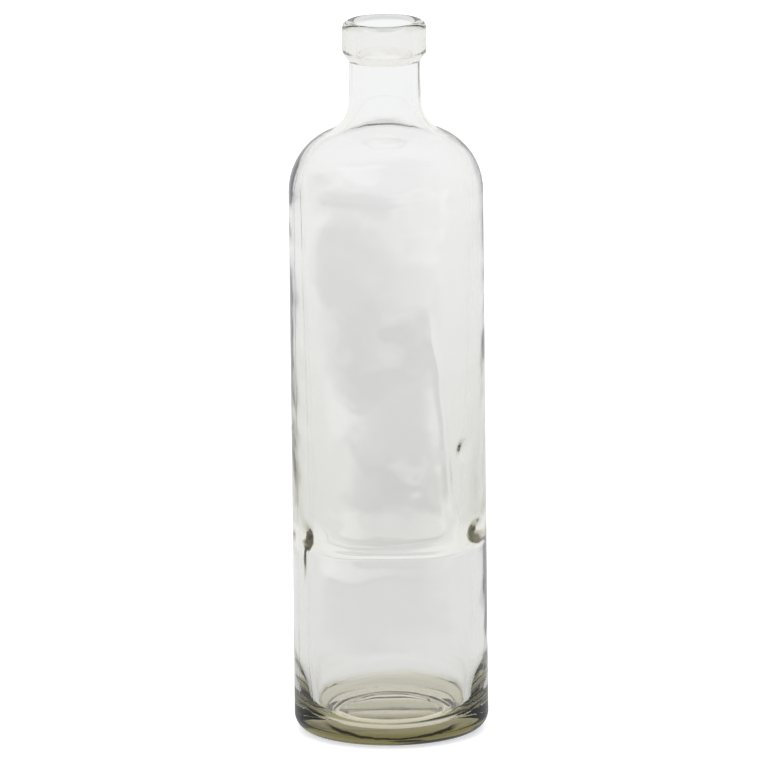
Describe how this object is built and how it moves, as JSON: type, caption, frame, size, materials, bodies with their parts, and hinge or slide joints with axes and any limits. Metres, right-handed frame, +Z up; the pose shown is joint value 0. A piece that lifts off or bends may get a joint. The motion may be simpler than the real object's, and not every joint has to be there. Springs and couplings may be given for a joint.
{
  "type": "glass oil bottle",
  "caption": "Tall clear glass bottle with a straight round body, rounded shoulder, short neck, banded open lip and heavy base, for holding and pouring oil.",
  "frame": {"origin": "centre of the base, on the plane that the foot ring stands on", "axes": "+Z up along the bottle's axis to the mouth; the body is round, so +X and +Y only fix the side that the picture shows, which faces -Y"},
  "size_m": [0.084, 0.084, 0.312],
  "materials": {
    "clear_glass": "clear blown glass with a faint olive-grey tint, glossy"
  },
  "bodies": {
    "root": {"bottle_glass": "clear_glass"}
  },
  "joints": []
}
